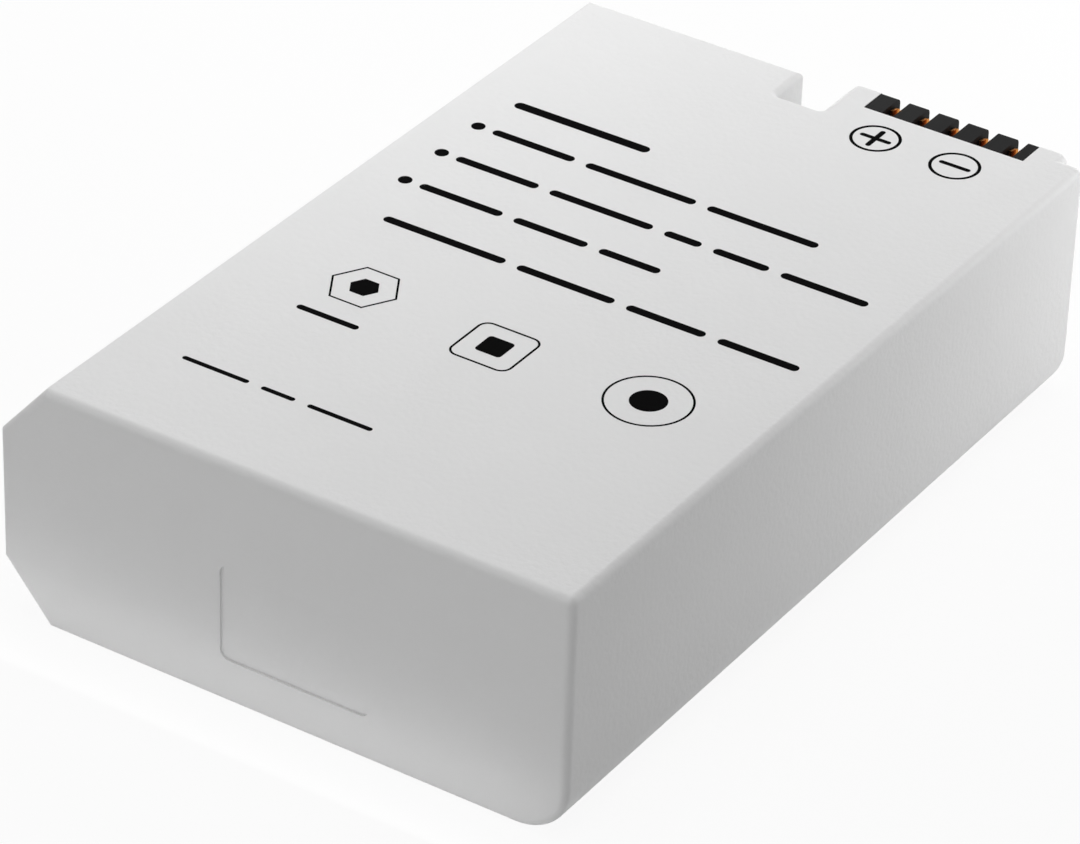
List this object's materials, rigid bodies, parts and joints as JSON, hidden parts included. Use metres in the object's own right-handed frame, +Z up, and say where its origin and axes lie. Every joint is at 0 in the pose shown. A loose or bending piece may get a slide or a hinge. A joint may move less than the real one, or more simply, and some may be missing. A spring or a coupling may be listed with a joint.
{
  "type": "camera battery",
  "caption": "Flat rechargeable camera battery: pale plastic case with one chamfered side, a key notch and slotted terminals at one end, with stacked cells and a protection board inside.",
  "frame": {"origin": "middle of the face that the battery lies on, below the middle of its overall box", "axes": "+Y along the battery towards its contact end, +Z up out of the printed face, +X across it towards the rounded long edge"},
  "size_m": [0.037, 0.0552, 0.0155],
  "materials": {
    "case_plastic": "fine matte moulding texture",
    "terminal_plastic": "satin",
    "contact_metal": "bright rolled strip",
    "cell_can": "drawn can",
    "gasket_plastic": "smooth",
    "nickel_strip": "rolled strip",
    "foam_pad": "closed-cell foam",
    "adhesive_tape": "smooth film",
    "insulating_paper": "pressed fibre",
    "fuse_body": "smooth",
    "board_laminate": "solder resist",
    "chip_plastic": "moulded",
    "resistor_body": "glazed top",
    "capacitor_body": "fired"
  },
  "bodies": {
    "root": {"main_case": "case_plastic", "base_cover": "case_plastic", "terminal_block": "terminal_plastic", "contact_1": "contact_metal", "contact_2": "contact_metal", "contact_3": "contact_metal", "contact_4": "contact_metal", "contact_5": "contact_metal", "upper_cell": "cell_can", "lower_cell": "cell_can", "upper_gasket": "gasket_plastic", "lower_gasket": "gasket_plastic", "upper_rivet": "nickel_strip", "lower_rivet": "nickel_strip", "upper_pad": "foam_pad", "lower_pad": "foam_pad", "end_pad": "foam_pad", "cell_tape": "adhesive_tape", "end_insulator": "insulating_paper", "positive_tab": "nickel_strip", "fuse": "fuse_body", "fuse_lead": "nickel_strip", "negative_tab": "nickel_strip", "series_link": "nickel_strip", "tap_lead": "nickel_strip", "circuit_board": "board_laminate", "control_chip": "chip_plastic", "power_switch": "chip_plastic", "sense_resistor": "resistor_body", "capacitor_1": "capacitor_body", "capacitor_2": "capacitor_body", "capacitor_3": "capacitor_body", "thermistor": "resistor_body"}
  },
  "joints": []
}
